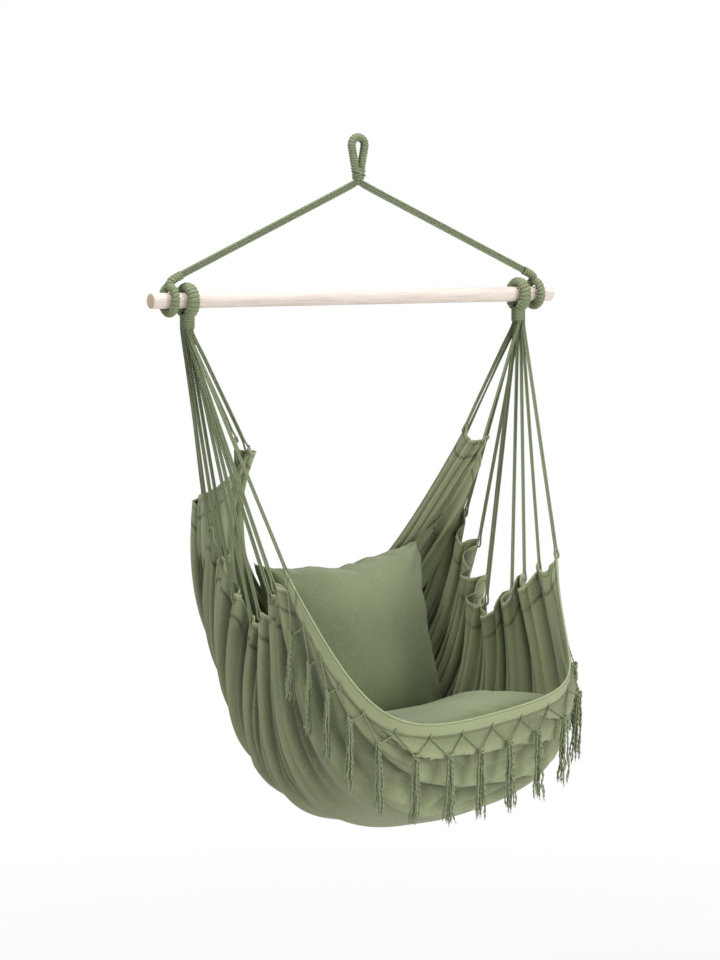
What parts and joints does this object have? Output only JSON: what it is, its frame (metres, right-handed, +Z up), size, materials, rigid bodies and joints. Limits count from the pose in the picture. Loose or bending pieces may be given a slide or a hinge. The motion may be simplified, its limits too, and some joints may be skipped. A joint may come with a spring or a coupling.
{
  "type": "hanging hammock chair",
  "caption": "Hanging hammock chair: a rope eye and V over a wooden spreader bar, two cord fans, a gathered cloth seat with a fringe, and two cushions.",
  "frame": {"origin": "the hang point, where a hook bears on the inside of the top eye", "axes": "+Z up, X along the spreader bar, the chair faces -Y"},
  "size_m": [1, 0.6839, 1.4328],
  "materials": {
    "bar_wood": "pale, fine sanded",
    "seat_cloth": "matte olive green cotton canvas",
    "cushion_cover": "matte olive green cotton",
    "fringe_thread": "matte olive green twisted cotton",
    "cotton_rope": "matte olive green twisted cotton rope"
  },
  "bodies": {
    "hanging_eye": {"top_eye_rope": "cotton_rope", "top_eye_winding": "cotton_rope"},
    "neck": {"top_neck_whipping": "cotton_rope"},
    "suspension": {"suspension_rope_left_1": "cotton_rope", "suspension_rope_left_2": "cotton_rope", "suspension_rope_left_3": "cotton_rope", "suspension_rope_right_1": "cotton_rope", "suspension_rope_right_2": "cotton_rope", "suspension_rope_right_3": "cotton_rope", "bar_eye_left": "cotton_rope", "bar_eye_right": "cotton_rope", "bar_eye_winding_left": "cotton_rope", "bar_eye_winding_right": "cotton_rope"},
    "bar": {"spreader_bar": "bar_wood"},
    "seat": {"seat_cloth": "seat_cloth", "fan_eye_left": "cotton_rope", "fan_eye_right": "cotton_rope", "fan_eye_winding_left": "cotton_rope", "fan_eye_winding_right": "cotton_rope", "fan_whipping_left": "cotton_rope", "fan_whipping_right": "cotton_rope", "fan_cord_left_01": "cotton_rope", "fan_cord_left_02": "cotton_rope", "fan_cord_left_03": "cotton_rope", "fan_cord_left_04": "cotton_rope", "fan_cord_left_05": "cotton_rope", "fan_cord_left_06": "cotton_rope", "fan_cord_left_07": "cotton_rope", "fan_cord_left_08": "cotton_rope", "fan_cord_left_09": "cotton_rope", "fan_cord_left_10": "cotton_rope", "fan_cord_left_11": "cotton_rope", "fan_cord_right_01": "cotton_rope", "fan_cord_right_02": "cotton_rope", "fan_cord_right_03": "cotton_rope", "fan_cord_right_04": "cotton_rope", "fan_cord_right_05": "cotton_rope", "fan_cord_right_06": "cotton_rope", "fan_cord_right_07": "cotton_rope", "fan_cord_right_08": "cotton_rope", "fan_cord_right_09": "cotton_rope", "fan_cord_right_10": "cotton_rope", "fan_cord_right_11": "cotton_rope", "fringe_tassel_01": "fringe_thread", "fringe_tassel_02": "fringe_thread", "fringe_tassel_03": "fringe_thread", "fringe_tassel_04": "fringe_thread", "fringe_tassel_05": "fringe_thread", "fringe_tassel_06": "fringe_thread", "fringe_tassel_07": "fringe_thread", "fringe_tassel_08": "fringe_thread", "fringe_tassel_09": "fringe_thread", "fringe_tassel_10": "fringe_thread", "fringe_tassel_11": "fringe_thread", "fringe_tassel_12": "fringe_thread", "fringe_tassel_13": "fringe_thread", "fringe_tassel_14": "fringe_thread", "fringe_tassel_15": "fringe_thread"},
    "seat_pad": {"seat_cushion": "cushion_cover"},
    "back_pad": {"back_cushion": "cushion_cover"}
  },
  "joints": [
    {"name": "rope_twist", "type": "hinge", "parent": "hanging_eye", "child": "neck", "pos_m": [0, 0, -0.066], "axis": [0, 0, 1], "range_deg": [-90, 90], "stiffness_Nm_per_rad": 0.4},
    {"name": "chair_swing", "type": "hinge", "parent": "neck", "child": "suspension", "pos_m": [0, 0, -0.079], "axis": [1, 0, 0], "range_deg": [-25, 25]},
    {"name": "bar_slide", "type": "slide", "parent": "suspension", "child": "bar", "axis": [1, 0, 0], "range_m": [-0.03, 0.03]},
    {"name": "seat_swing", "type": "hinge", "parent": "suspension", "child": "seat", "pos_m": [0, 0, -0.323], "axis": [1, 0, 0], "range_deg": [-20, 20]},
    {"name": "seat_cushion_lift", "type": "slide", "parent": "seat", "child": "seat_pad", "axis": [-0.0885, -0.3304, 0.9397], "range_m": [0, 0.25]},
    {"name": "back_cushion_lift", "type": "slide", "parent": "seat", "child": "back_pad", "axis": [-0.0885, -0.3304, 0.9397], "range_m": [0, 0.25]}
  ]
}
